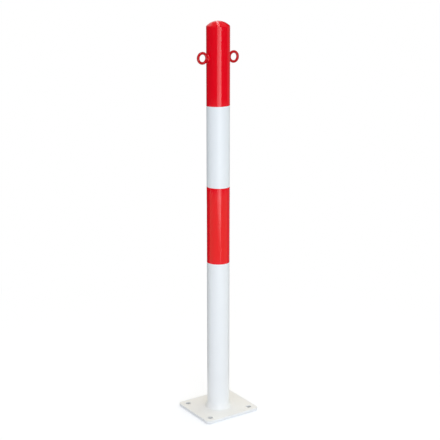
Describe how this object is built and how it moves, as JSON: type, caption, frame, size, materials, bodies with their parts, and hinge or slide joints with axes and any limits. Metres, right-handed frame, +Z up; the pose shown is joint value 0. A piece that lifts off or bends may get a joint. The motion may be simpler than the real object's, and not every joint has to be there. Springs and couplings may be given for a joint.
{
  "type": "bolt-down barrier post",
  "caption": "Tall round steel barrier post with a domed top, red and white bands, side rings for a chain and a flat drilled base plate for bolting to the ground.",
  "frame": {"origin": "centre of the base plate's underside, on the tube's axis", "axes": "+Z up along the tube, +X along the plate's length through the right chain eye, +Y along the plate's width"},
  "size_m": [0.166, 0.15, 1.044],
  "materials": {
    "white_paint": "satin white coating on steel",
    "red_paint": "gloss red paint on steel"
  },
  "bodies": {
    "root": {"base_plate": "white_paint", "post_tube": "white_paint", "base_weld": "white_paint", "dome_cap": "red_paint", "cap_weld": "red_paint", "chain_eye_left": "red_paint", "chain_eye_right": "red_paint", "eye_weld_left": "red_paint", "eye_weld_right": "red_paint"}
  },
  "joints": []
}
